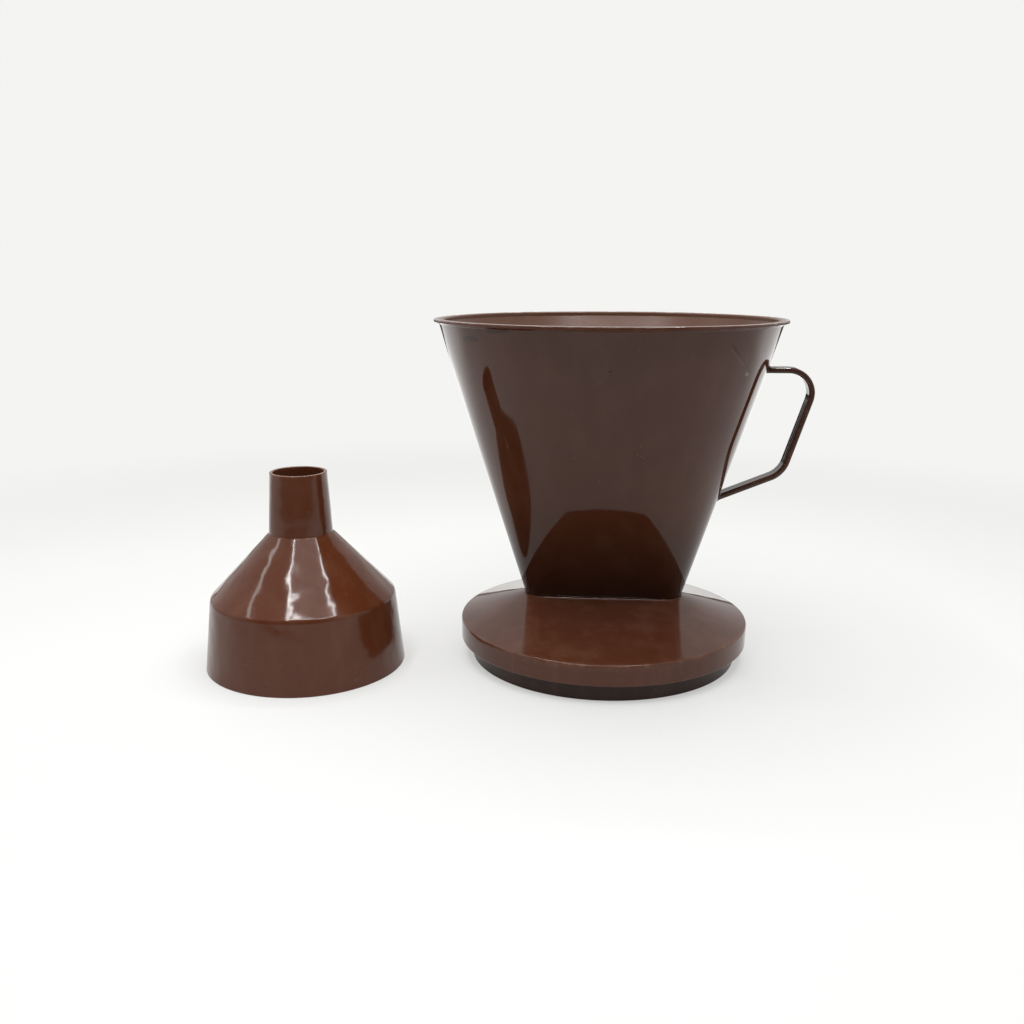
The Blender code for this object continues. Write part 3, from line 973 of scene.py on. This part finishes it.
@dataclass
class BaseDisc:
    """The sheet that slopes from the cone's foot to a round edge, with its skirt, its slot and the ring."""

    place: Points
    radius: float = 0.0624
    seat: float = 0.0265
    edge: float = 0.0167
    skirt_bottom: float = 0.0079
    sheet: float = 0.0022
    edge_round: float = 0.0009
    foot_radius: float = 0.0090
    foot_spread: float = 0.0253
    opening: float = 0.0071
    bead_height: float = 0.00020
    bead_width: float = 0.00075
    dent: float = 0.00012
    edge_wear: float = 0.0008
    ring_radius: float = 0.0575
    ring_wall: float = 0.0020
    ring_top: float = 0.0138
    ring_bend: float = 0.0028
    ring_gap: float = 0.0001

    def slope(self, share: Points | float) -> tuple:
        """Radius, spread and height on the slope: share 0 at the cone's foot and 1 at the edge."""
        radius = self.foot_radius + (self.radius - self.foot_radius) * share
        return radius, self.foot_spread * (1.0 - share), self.seat + (self.edge - self.seat) * share

    def slope_height(self, points: Points) -> Points:
        """Height of the slope above each point, by halving the share until its slot passes through it.

        Args:
            points: Array of points.

        Returns:
            The height above each one.
        """
        low, high = np.zeros(points.shape[:-1]), np.ones(points.shape[:-1])
        for _ in range(30):
            share = (low + high) / 2.0
            radius, spread, _ = self.slope(share)
            past = np.maximum(np.abs(points[..., 0]) - spread, 0.0)
            outside = np.hypot(past, points[..., 1]) > radius
            low, high = np.where(outside, share, low), np.where(outside, high, share)
        return self.slope((low + high) / 2.0)[2]

    def profile(self) -> Points:
        """Closed profile: up the skirt, in over the slope and its bead, and back under the sheet.

        Returns:
            Rows of radius, spread and height.
        """
        bore = self.radius - self.sheet
        run = self.radius - self.foot_radius
        bead = (self.bead_width + 0.00025) / run
        bead_radius, bead_spread, bead_foot = self.slope(bead)
        under = 1.0 - self.sheet / (run - self.foot_spread)
        under_radius, under_spread, under_height = self.slope(under)
        spread, seat, base = self.foot_spread, self.seat, self.skirt_bottom
        corners = [
            (self.radius, 0.0, base, 0.00045),
            (self.radius, 0.0, self.edge, self.edge_round),
            (bead_radius, bead_spread, bead_foot, 0.00008),
            (self.foot_radius + self.bead_width, spread, seat + self.bead_height, 0.00018),
            (self.foot_radius + 0.00015, spread, seat + self.bead_height, 0.00010),
            (self.foot_radius, spread, seat, 0.0),
            (self.opening, spread, seat, 0.0002),
            (self.opening, spread, seat - self.sheet, 0.0002),
            (self.foot_radius, spread, seat - self.sheet, 0.0),
            (under_radius, under_spread, under_height - self.sheet, 0.0),
            (bore, 0.0, self.edge - self.sheet, 0.0005),
            (bore, 0.0, base, 0.0004),
        ]
        return trace(corners, closed=True, pace=0.0020, arc_steps=6)

    def sheet_piece(self) -> bpy.types.Object:
        """The sloping sheet and its skirt, with a slight wave in the skirt's lower edge, and painted
        highlights on its top edge and its bead.

        Returns:
            The sheet.
        """
        points = slot_loops(self.profile(), 132, 20)
        angle, outward = polar(points)
        low = smooth_step(((self.edge - 0.001) - points[..., 2]) / 0.006) * (outward > self.radius - 0.004)
        pull_in(points, low * (1.0 + waves(angle, (3, 4, 7), 3)) * self.dent)
        from_edge = np.hypot(outward - self.radius, points[..., 2] - self.edge)
        over_seat = (points[..., 2] - self.seat) / self.bead_height
        # Painted highlight: a lighter band along the rounded top edge, and a lighter bead where the cone
        # sits, for the light these rounds catch.
        wear = bell(from_edge, self.edge_wear) * (0.55 + 0.35 * waves(angle, (5, 13, 31), 8))
        wear = np.maximum(wear, smooth_step(over_seat) * (0.8 + 0.2 * waves(angle, (3, 8, 21), 6)))
        return Shell().add(points, wrap_rows=True).piece("disc_sheet", self.place, wear=wear)

    def ring_piece(self) -> bpy.types.Object:
        """The pot ring under the sheet: a plain band whose top follows the slope, with rounded edges.

        Returns:
            The ring.
        """
        bore = self.ring_radius - self.ring_wall
        corners = [
            (bore, 0.0, 0.0, 0.0005),
            (self.ring_radius, 0.0, 0.0, 0.0005),
            (self.ring_radius, 0.0, self.ring_top, 0.0),
            (bore, 0.0, self.ring_top, 0.0),
        ]
        points = slot_loops(trace(corners, closed=True, pace=0.0016, arc_steps=6), 180, 1)
        top = self.slope_height(points) - self.sheet + self.ring_gap
        lift = smooth_step((points[..., 2] - (self.ring_top - self.ring_bend)) / self.ring_bend)
        points[..., 2] += lift * (top - self.ring_top)
        return Shell().add(points, wrap_rows=True).piece("ring_band", self.place)

    def build(self) -> None:
        """Builds and dresses the sheet and the ring."""
        disc = Plastic(
            "disc_gloss",
            tone=(0.084, 0.0260, 0.0125),
            deep=(0.068, 0.0210, 0.0102),
            gloss=0.050,
            # Pale tone of the painted highlights on the edge and the bead, and of worn places.
            worn_and_highlight_tone=(0.23, 0.125, 0.085),
            bend=0.8,
            wobble=0.05,
            seed=3.1,
        ).material()
        # Painted shade: the ring is the same brown plastic, given a much darker tone for the shade under
        # the disc.
        ring = Plastic(
            "ring_painted_shade",
            tone=(0.031, 0.0122, 0.0076),
            deep=(0.025, 0.0098, 0.0062),
            gloss=0.20,
            smudge=0.12,
            ior=1.32,
            seed=7.7,
        ).material()
        show(self.sheet_piece(), Body.DRIPPER, Slot.DISC, disc, "base_disc")
        show(self.ring_piece(), Body.DRIPPER, Slot.RING, ring, "pot_ring")


@dataclass
class StrapHandle:
    """The flat strap bent round two corners, whose ends flow into the cone's wall."""

    cone: FilterCone
    thickness: float = 0.0024
    width: float = 0.0080
    edge: float = 0.0009
    top: float = 0.1262
    foot: float = 0.0696
    standoff: float = 0.02286
    rise: float = math.radians(22.5)
    top_bend: float = 0.0097
    low_bend: float = 0.0110
    heel_height: float = 0.0028
    heel_length: float = 0.0021
    sink: float = 0.0004
    seam_depth: float = 0.00007
    seam_width: float = 0.00028
    flare: float = 0.0009
    flare_length: float = 0.0014
    blend_length: float = 0.006
    side_wear: float = 0.0003

    @property
    def lean(self) -> float:
        """How far the wall moves out along X for each metre of height."""
        high, low = self.cone.reach(self.cone.wall_top), self.cone.reach(self.cone.foot_height)
        return (high - low) / (self.cone.wall_top - self.cone.foot_height)

    def path(self) -> Points:
        """Middle line in the XZ plane, from the wall at the top, round both bends, to the wall at the foot.

        Returns:
            Rows of x and z.
        """
        half = self.thickness / 2.0
        offset = (self.standoff - half) * math.hypot(1.0, self.lean)
        top_z = self.top - half
        foot_z = self.foot + half / math.cos(self.rise)
        start_x = self.cone.reach(top_z)
        foot_x = self.cone.reach(self.foot)
        climb = (self.cone.reach(foot_z) + offset - foot_x) / (1.0 - self.lean * math.tan(self.rise))
        corners = [
            (start_x, top_z, 0.0),
            (start_x + offset, top_z, self.top_bend),
            (foot_x + climb, foot_z + climb * math.tan(self.rise), self.low_bend),
            (foot_x, foot_z, 0.0),
        ]
        return trace(corners, closed=False, pace=0.00045, arc_steps=36)

    def section(self) -> Points:
        """Outline as (out, along Y) rows, with round edges and a fine mould seam along both wide faces.

        The seam is a shallow groove: a bell in the distance from the middle of the face.

        Returns:
            Rows of the two offsets.
        """
        half_out, half_along = self.thickness / 2.0, self.width / 2.0
        corners = [
            (half_out, -half_along, self.edge),
            (half_out, half_along, self.edge),
            (-half_out, half_along, self.edge),
            (-half_out, -half_along, self.edge),
        ]
        outline = trace(corners, closed=True, pace=0.00022, arc_steps=6)
        outline[:, 0] -= np.sign(outline[:, 0]) * bell(outline[:, 1], self.seam_width) * self.seam_depth
        return outline

    def surface(self) -> Points:
        """Sections along the path, with the ends flared and cut to the wall's slope.

        A point of a section lies at path + out * o + Y * s. Near each end both offsets grow as a hollow
        fillet, the top end's outer side rises further into its heel, and the section slides along the
        bar so that its last row lies in the wall.

        Returns:
            Array of shape (rows along the path, points of the outline, 3).
        """
        path, outline = self.path(), self.section()
        ahead = unit(np.gradient(path, axis=0))
        out = np.stack([-ahead[:, 1], ahead[:, 0]], axis=-1)
        walked = np.concatenate([[0.0], np.cumsum(np.linalg.norm(np.diff(path, axis=0), axis=1))])
        from_end = np.minimum(walked, walked[-1] - walked)
        flare = np.clip(1.0 - from_end / self.flare_length, 0.0, 1.0)[:, None] ** 2.2 * self.flare
        heel = np.clip(1.0 - walked / self.heel_length, 0.0, 1.0)[:, None] ** 1.5 * self.heel_height
        over, along = outline[None, :, 0], outline[None, :, 1]
        offset_out = over + np.sign(over) * flare + np.clip(over / self.thickness + 0.5, 0.0, 1.0) * heel
        offset_along = along + np.sign(along) * flare * 0.8
        x = path[:, None, 0] + out[:, None, 0] * offset_out
        z = path[:, None, 1] + out[:, None, 1] * offset_out
        y = offset_along + 0.0 * x
        upper = (np.arange(len(path)) < len(path) // 2)[:, None]
        bar = np.where(upper, ahead[0], -ahead[-1])[:, None]
        end_x = np.where(upper, path[0, 0], path[-1, 0])
        at_wall = np.clip(1.0 - from_end / self.blend_length, 0.0, 1.0)[:, None]
        to_wall = self.wall_reach(y, z) - self.sink - end_x - (x - path[:, None, 0])
        slide = to_wall * at_wall / (bar[..., 0] - self.lean * bar[..., 1])
        return np.stack([x + slide * bar[..., 0], y, z + slide * bar[..., 1]], axis=-1)

    def wall_reach(self, y: Points, z: Points) -> Points:
        """X of the wall's outside at these y and heights, on the handle's side."""
        radius, spread = self.cone.slot(z)
        return spread + np.sqrt(np.maximum(radius**2 - y**2, 0.0))

    def build(self) -> None:
        """Builds and dresses the strap, closed at both ends inside the wall."""
        points = self.surface()
        near, far = (np.broadcast_to(row.mean(axis=0), row.shape)[None] for row in points[[0, -1]])
        grid = np.concatenate([near, points, far])
        walked = np.linspace(0.0, 1.0, len(grid))[:, None] + 0.0 * grid[..., 0]
        # Painted sheen: the strap's narrow faces are lightened, most in the middle of the loop, for the
        # light that they reflect.
        from_side = self.width / 2.0 - np.abs(grid[..., 1])
        wear = bell(from_side, self.side_wear) * 0.7 * np.sin(math.pi * walked) ** 0.5
        finish = Plastic(
            "handle_gloss",
            tone=(0.052, 0.0205, 0.0130),
            deep=(0.042, 0.0160, 0.0100),
            gloss=0.07,
            bend=0.5,
            seed=5.3,
        ).material()
        strap = Shell().add(grid).piece("strap_handle", self.cone.place, wear=wear)
        recalculate(strap)
        show(strap, Body.DRIPPER, Slot.HANDLE, finish, "handle")


@dataclass
class FlaskAdapter:
    """The loose funnel, turned from one profile: skirt, sloping shoulder and spout."""

    place: Points
    mouth_radius: float = 0.0424
    shoulder_radius: float = 0.0389
    shoulder_height: float = 0.0305
    shoulder_round: float = 0.0030
    neck_radius: float = 0.0133
    neck_height: float = 0.0577
    neck_round: float = 0.0012
    spout_radius: float = 0.0119
    top: float = 0.0833
    wall: float = 0.0018
    spout_wall: float = 0.0014
    warp: float = 0.00025
    edge_wear: float = 0.0007

    def profile(self) -> Points:
        """Closed profile of (radius, height): up the outside and down the inside.

        Returns:
            Rows of radius and height.
        """
        run, fall = self.shoulder_radius - self.neck_radius, self.neck_height - self.shoulder_height
        drop = self.wall * math.hypot(run, fall) / run
        inner_neck = self.neck_height - drop + self.spout_wall * fall / run
        inner_shoulder = self.shoulder_height - drop + self.wall * fall / run
        corners = [
            (self.mouth_radius - self.wall, 0.0, 0.0004),
            (self.mouth_radius, 0.0, 0.0004),
            (self.shoulder_radius, self.shoulder_height, self.shoulder_round),
            (self.neck_radius, self.neck_height, self.neck_round),
            (self.spout_radius, self.top, 0.0003),
            (self.spout_radius - self.spout_wall, self.top, 0.0003),
            (self.neck_radius - self.spout_wall, inner_neck, 0.0010),
            (self.shoulder_radius - self.wall, inner_shoulder, self.shoulder_round - self.wall / 2.0),
        ]
        return trace(corners, closed=True, pace=0.0012, arc_steps=8)

    def build(self) -> None:
        """Builds and dresses the funnel, with a slight oval warp, worn edges and a painted highlight on the
        spout's top edge.
        """
        points = turned_loops(self.profile(), 264)
        angle, _ = polar(points)
        height = points[..., 2]
        low = smooth_step((self.shoulder_height - height) / self.shoulder_height)
        pull_in(points, low * (1.0 + waves(angle, (2, 3, 5), 17)) / 2.0 * self.warp)
        # The spout's top edge is lightened strongly, partly as wear and partly as a painted highlight; the
        # mouth's lower edge less, as wear.
        wear = 0.85 * bell(self.top - height, self.edge_wear) + 0.30 * bell(height, self.edge_wear)
        wear = wear * (1.0 + waves(angle, (3, 7, 19), 4)) / 2.0
        finish = Plastic(
            "adapter_gloss",
            tone=(0.094, 0.0250, 0.0090),
            deep=(0.078, 0.0205, 0.0076),
            gloss=0.10,
            worn_and_highlight_tone=(0.22, 0.12, 0.08),
            wobble=0.62,
            seed=9.4,
        ).material()
        funnel = Shell().add(points, wrap_rows=True).piece("adapter_funnel", self.place, wear=wear)
        show(funnel, Body.ADAPTER, Slot.ADAPTER, finish, "flask_adapter")


# ------------------------------------------------------------------ studio


@dataclass
class Studio:
    """A bright tent with an open front: pale floor, light frame overhead and the camera.

    A glow is a brightness where the backdrop is 1. What mirrors the floor sees it darker towards -Y and
    brighter towards +Y than the camera does, as far as the starts and ends say.
    """

    floor_radius: float = 1.2
    fade_start: float = 0.30
    fade_end: float = 0.62
    floor_tone: Colour = (0.70, 0.70, 0.695)
    floor_even: float = 0.50
    wall_glow: float = 0.74
    roof_glow: float = 0.75
    front_glow: float = 0.12
    near_glow: float = 0.92
    far_gain: float = 0.75
    far_start: float = 0.10
    far_end: float = 0.30
    dim_start: float = -0.22
    dim_end: float = -0.42
    gap_glow: float = 0.10
    gap_top: float = 0.022
    backdrop: Colour = (0.905, 0.905, 0.89)
    frame_left: float = -0.178
    frame_right: float = 0.203
    frame_near: float = -0.36
    frame_far: float = 0.16
    cross_near: float = -0.290
    frame_height: float = 0.545
    panel_lift: float = 0.01
    strip_width: float = 0.009
    strip_glow: float = 66.0
    panel_glow: float = 1.3
    side_place: Triple = (-0.60, -0.07, 0.545)
    side_size: tuple[float, float] = (0.07, 0.50)
    side_glow: float = 5.5
    lens: float = 35.571
    eye: Triple = (0.036845, -0.429458, 0.164340)
    aim: Triple = (math.radians(90.0) - 0.232984, -0.00096, 0.0807107)

    def floor(self) -> None:
        """A round pale floor: a plain matt one by the pair that fades into the backdrop's own colour."""
        angle = full_turn(96)
        radius = np.linspace(0.0, 1.0, 20)[::-1, None] ** 1.6 * self.floor_radius
        points = np.stack([radius * np.cos(angle), radius * np.sin(angle), 0.0 * radius * angle], axis=-1)
        ground = Shell().add(points).piece("pale_floor", np.zeros(3))
        made = bpy.data.materials.new("pale_floor")
        made.use_nodes = True
        bench = Bench(made.node_tree)
        place = bench.node("TexCoord", output="Object")
        mottle = bench.noise(place, 9.0, 3.0).ramp(0.3, 0.7)
        tone = bench.blend(mottle, self.floor_tone, tuple(0.985 * part for part in self.floor_tone))
        matt = bench.node("BsdfDiffuse", None, {"Color": tone})
        seen = bench.node("LightPath", output="Is Camera Ray")
        forward = bench.part(place, 1)
        reflected = forward.ramp(self.dim_end, self.dim_start, self.front_glow, self.near_glow)
        reflected = reflected + forward.ramp(self.far_start, self.far_end, 0.0, self.far_gain)
        glow = seen + (1.0 - seen) * reflected
        wall = bench.node("Emission", None, {"Color": (*self.backdrop, 1.0), "Strength": glow})
        from_middle = bench.vector("LENGTH", place, output="Value")
        sweep = from_middle.ramp(self.fade_start, self.fade_end, self.floor_even, 1.0)
        shader = bench.node("MixShader", None, {0: sweep, 1: matt, 2: wall})
        bench.node("OutputMaterial", None, {"Surface": shader})
        ground.data.materials.append(made)

    def tent(self) -> None:
        """World light: glowing walls and roof, a dim open front towards -Y and a thin dark horizon."""
        world = bpy.data.worlds.new("tent")
        bpy.context.scene.world = world
        world.use_nodes = True
        bench = Bench(world.node_tree)
        way = bench.node("TexCoord", output="Generated")
        x, y, z = (bench.part(way, axis) for axis in range(3))
        level = (x * x + y * y) ** 0.5
        ahead = (0.0 - y) / level.most(0.001)
        open_front = ahead.ramp(0.35, 0.8) * z.ramp(0.55, 0.8, 1.0, 0.0)
        glow = z.ramp(0.0, 0.9, self.wall_glow, self.roof_glow)
        glow = glow * (1.0 - open_front) + open_front * self.front_glow
        glow = glow * z.ramp(self.gap_top * 0.6, self.gap_top, self.gap_glow, 1.0)
        seen = bench.node("LightPath", output="Is Camera Ray")
        lit = bench.node("Background", None, {"Color": (1.0, 1.0, 0.985, 1.0), "Strength": glow})
        plain = bench.node("Background", None, {"Color": (*self.backdrop, 1.0), "Strength": 1.0})
        both = bench.node("MixShader", None, {0: seen, 1: lit, 2: plain})
        bench.node("OutputWorld", None, {"Surface": both})

    def lamp(self, name: str, centre: Triple, size: tuple[float, float], glow: float) -> None:
        """A flat lamp that shines straight down with the same brightness all over.

        Args:
            name: The lamp's name.
            centre: Its middle.
            size: Its length along X and along Y.
            glow: Its brightness, where the backdrop is about 1.
        """
        data = bpy.data.lights.new(name, "AREA")
        data.shape = "RECTANGLE"
        data.size, data.size_y = size
        data.energy = glow * math.pi * size[0] * size[1]
        lamp = bpy.data.objects.new(name, data)
        lamp.location = centre
        lamp.visible_camera = False
        bpy.context.scene.collection.objects.link(lamp)

    def light_frame(self) -> None:
        """A soft panel with bright strips on three of its edges, one across it, and a far side lamp."""
        middle_x = (self.frame_left + self.frame_right) / 2.0
        middle_y = (self.frame_near + self.frame_far) / 2.0
        wide, deep = self.frame_right - self.frame_left, self.frame_far - self.frame_near
        high, strip = self.frame_height, self.strip_width
        self.lamp("panel", (middle_x, middle_y, high + self.panel_lift), (wide, deep), self.panel_glow)
        for name, x in (("strip_left", self.frame_left), ("strip_right", self.frame_right)):
            self.lamp(name, (x, middle_y, high), (strip, deep), self.strip_glow)
        for name, y in (("strip_near", self.cross_near), ("strip_far", self.frame_far)):
            self.lamp(name, (middle_x, y, high), (wide, strip), self.strip_glow)
        self.lamp("side", self.side_place, self.side_size, self.side_glow)

    def camera(self) -> None:
        """The camera, a little above the rim, in front of the pair."""
        data = bpy.data.cameras.new("camera")
        data.lens = self.lens
        data.sensor_width = 36.0
        data.clip_start = 0.01
        camera = bpy.data.objects.new("camera", data)
        camera.location = self.eye
        camera.rotation_euler = self.aim
        bpy.context.scene.collection.objects.link(camera)
        bpy.context.scene.camera = camera

    def build(self) -> None:
        """Sets up the floor, the light, the camera and the Standard view."""
        self.floor()
        self.tent()
        self.light_frame()
        self.camera()
        display = bpy.context.scene.view_settings
        display.view_transform = "Standard"
        display.look = "None"


def main() -> None:
    """Builds the pair and its studio."""
    logging.basicConfig(level=logging.INFO, format="%(name)s %(message)s")
    cone = FilterCone(middle_of("base_disc"))
    adapter = FlaskAdapter(middle_of("flask_adapter"))
    for part in (cone, BaseDisc(cone.place), StrapHandle(cone), adapter, Studio()):
        part.build()


if __name__ == "__main__":
    main()
